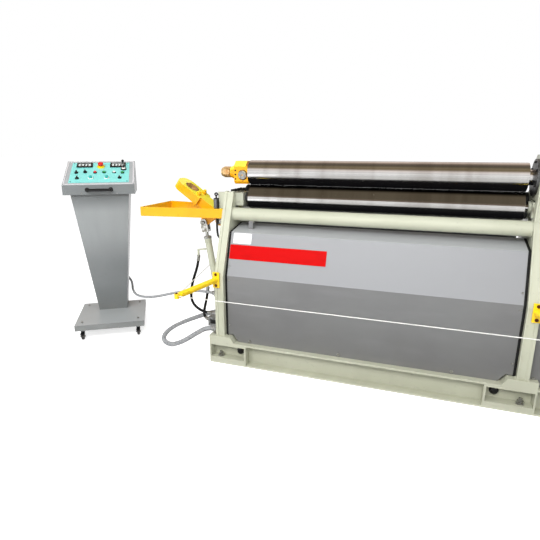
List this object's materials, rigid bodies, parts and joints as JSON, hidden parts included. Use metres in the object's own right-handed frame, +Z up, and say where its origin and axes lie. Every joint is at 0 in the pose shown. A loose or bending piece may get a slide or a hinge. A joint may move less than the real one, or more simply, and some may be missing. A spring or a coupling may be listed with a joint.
{
  "type": "plate rolling machine",
  "caption": "Plate rolling machine with a hydraulic drop end standing open, guard bars, trip wire, enclosed drive and a wheeled operator console joined to it by conduit.",
  "frame": {"origin": "on the floor, at the centre of the four anchor holes and under the top roll's axis", "axes": "+X along the rolls towards the drive end, +Y to the rear, +Z up"},
  "size_m": [3.777, 1.307, 1.33],
  "materials": {
    "cream_paint": "satin",
    "cover_paint": "satin",
    "guard_paint": "gloss",
    "roll_steel": "ground and polished",
    "bearing_steel": "machined, oiled",
    "keeper_black": "satin",
    "seal_rubber": "matte",
    "switch_black": "moulded",
    "cable_black": "satin",
    "wire_cover": "clear-coated wire rope",
    "fitting_zinc": "zinc plated",
    "hose_rubber": "satin",
    "conduit_grey": "corrugated",
    "nose_bronze": "turned",
    "rod_chrome": "polished",
    "console_paint": "satin",
    "fascia_sheet": "printed overlay without print",
    "readout_frame": "moulded",
    "control_black": "moulded",
    "stop_red": "moulded",
    "castor_chrome": "pressed and plated",
    "castor_tread": "matte"
  },
  "bodies": {
    "machine": {"left_foot": "cream_paint", "right_foot": "cream_paint", "drive_base": "cream_paint", "front_beam": "cream_paint", "rear_beam": "cream_paint", "left_frame": "cream_paint", "right_frame": "cream_paint", "tie_tube": "cream_paint", "rear_tie_tube": "cream_paint", "front_cover": "cover_paint", "rear_cover": "cover_paint", "cover_seals": "seal_rubber", "drive_housing": "cover_paint", "top_bearing_block": "guard_paint", "drive_bearing": "bearing_steel", "rear_roll": "roll_steel", "rear_bearings": "bearing_steel", "way_caps": "keeper_black", "guard_frame": "guard_paint", "drop_end_hinge": "guard_paint", "cylinder_bracket": "cream_paint", "switch_bracket": "cream_paint", "limit_switch": "switch_black", "switch_cable": "cable_black", "front_trip_arms": "guard_paint", "rear_trip_arms": "guard_paint", "trip_wire": "wire_cover", "hose_fittings": "fitting_zinc", "hose_upper": "hose_rubber", "hose_lower": "hose_rubber", "conduit_loop": "conduit_grey", "console_conduit": "conduit_grey", "console_base": "console_paint", "console_column": "console_paint", "console_desk": "console_paint", "console_fascia": "fascia_sheet", "console_readouts": "readout_frame", "console_controls": "control_black", "console_handle": "control_black"},
    "lower_carriage": {"lower_bearings": "bearing_steel"},
    "lower_roll": {"lower_roll": "roll_steel"},
    "top_roll": {"top_roll": "roll_steel", "roll_nose": "nose_bronze"},
    "yoke": {"yoke": "guard_paint", "yoke_head": "guard_paint", "yoke_bush": "nose_bronze"},
    "barrel": {"cylinder_barrel": "cream_paint"},
    "rod": {"cylinder_rod": "rod_chrome"},
    "stop_button": {"stop_button": "stop_red"},
    "joystick": {"joystick": "control_black"},
    "castor_fork_1": {"castor_fork_1": "castor_chrome"},
    "castor_wheel_1": {"castor_wheel_1": "castor_tread"},
    "castor_fork_2": {"castor_fork_2": "castor_chrome"},
    "castor_wheel_2": {"castor_wheel_2": "castor_tread"},
    "castor_fork_3": {"castor_fork_3": "castor_chrome"},
    "castor_wheel_3": {"castor_wheel_3": "castor_tread"},
    "castor_fork_4": {"castor_fork_4": "castor_chrome"},
    "castor_wheel_4": {"castor_wheel_4": "castor_tread"}
  },
  "joints": [
    {"name": "lower_roll_lift", "type": "slide", "parent": "machine", "child": "lower_carriage", "axis": [0, 0, 1], "range_m": [-0.006, 0.004]},
    {"name": "lower_roll_spin", "type": "hinge", "parent": "lower_carriage", "child": "lower_roll", "pos_m": [0, 0, 1.059], "axis": [1, 0, 0], "continuous": true},
    {"name": "top_roll_spin", "type": "hinge", "parent": "machine", "child": "top_roll", "pos_m": [0, 0, 1.215], "axis": [1, 0, 0], "continuous": true},
    {"name": "drop_end", "type": "hinge", "parent": "machine", "child": "yoke", "pos_m": [-0.947, 0, 0.907], "axis": [0, 1, 0], "range_deg": [0, 54.6]},
    {"name": "cylinder_swing", "type": "hinge", "parent": "machine", "child": "barrel", "pos_m": [-1.015, 0, 0.38], "axis": [0, 1, 0], "range_deg": [0, 4.78]},
    {"name": "cylinder_stroke", "type": "slide", "parent": "barrel", "child": "rod", "axis": [-0.1603, 0, 0.9871], "range_m": [0, 0.1331]},
    {"name": "stop_press", "type": "slide", "parent": "machine", "child": "stop_button", "axis": [0.2215, -0.3411, 0.9135], "range_m": [-0.005, 0], "stiffness_N_per_m": 400, "springref_m": 0.004},
    {"name": "joystick_tilt", "type": "hinge", "parent": "machine", "child": "joystick", "pos_m": [-1.8741, 0.20409, 1.22007], "axis": [0.8387, 0.5446, 0], "range_deg": [-20, 20], "stiffness_Nm_per_rad": 0.6},
    {"name": "castor_swivel_1", "type": "hinge", "parent": "machine", "child": "castor_fork_1", "pos_m": [-2.00675, -0.25448, 0.06], "axis": [0, 0, 1], "continuous": true},
    {"name": "castor_spin_1", "type": "hinge", "parent": "castor_fork_1", "child": "castor_wheel_1", "pos_m": [-1.99477, -0.27293, 0.025], "axis": [0.8387, 0.5446, 0], "continuous": true},
    {"name": "castor_swivel_2", "type": "hinge", "parent": "machine", "child": "castor_fork_2", "pos_m": [-1.67631, -0.03989, 0.06], "axis": [0, 0, 1], "continuous": true},
    {"name": "castor_spin_2", "type": "hinge", "parent": "castor_fork_2", "child": "castor_wheel_2", "pos_m": [-1.66433, -0.05834, 0.025], "axis": [0.8387, 0.5446, 0], "continuous": true},
    {"name": "castor_swivel_3", "type": "hinge", "parent": "machine", "child": "castor_fork_3", "pos_m": [-1.90125, 0.30648, 0.06], "axis": [0, 0, 1], "continuous": true},
    {"name": "castor_spin_3", "type": "hinge", "parent": "castor_fork_3", "child": "castor_wheel_3", "pos_m": [-1.88927, 0.28803, 0.025], "axis": [0.8387, 0.5446, 0], "continuous": true},
    {"name": "castor_swivel_4", "type": "hinge", "parent": "machine", "child": "castor_fork_4", "pos_m": [-2.23169, 0.09189, 0.06], "axis": [0, 0, 1], "continuous": true},
    {"name": "castor_spin_4", "type": "hinge", "parent": "castor_fork_4", "child": "castor_wheel_4", "pos_m": [-2.2197, 0.07344, 0.025], "axis": [0.8387, 0.5446, 0], "continuous": true}
  ],
  "couplings": [
    {"joint": "lower_roll_spin", "follows": "top_roll_spin", "ratio": -1},
    {"joint": "cylinder_swing", "follows": "drop_end", "ratio": 0.08704},
    {"joint": "cylinder_stroke", "follows": "drop_end", "m_per_rad": 0.1386}
  ]
}
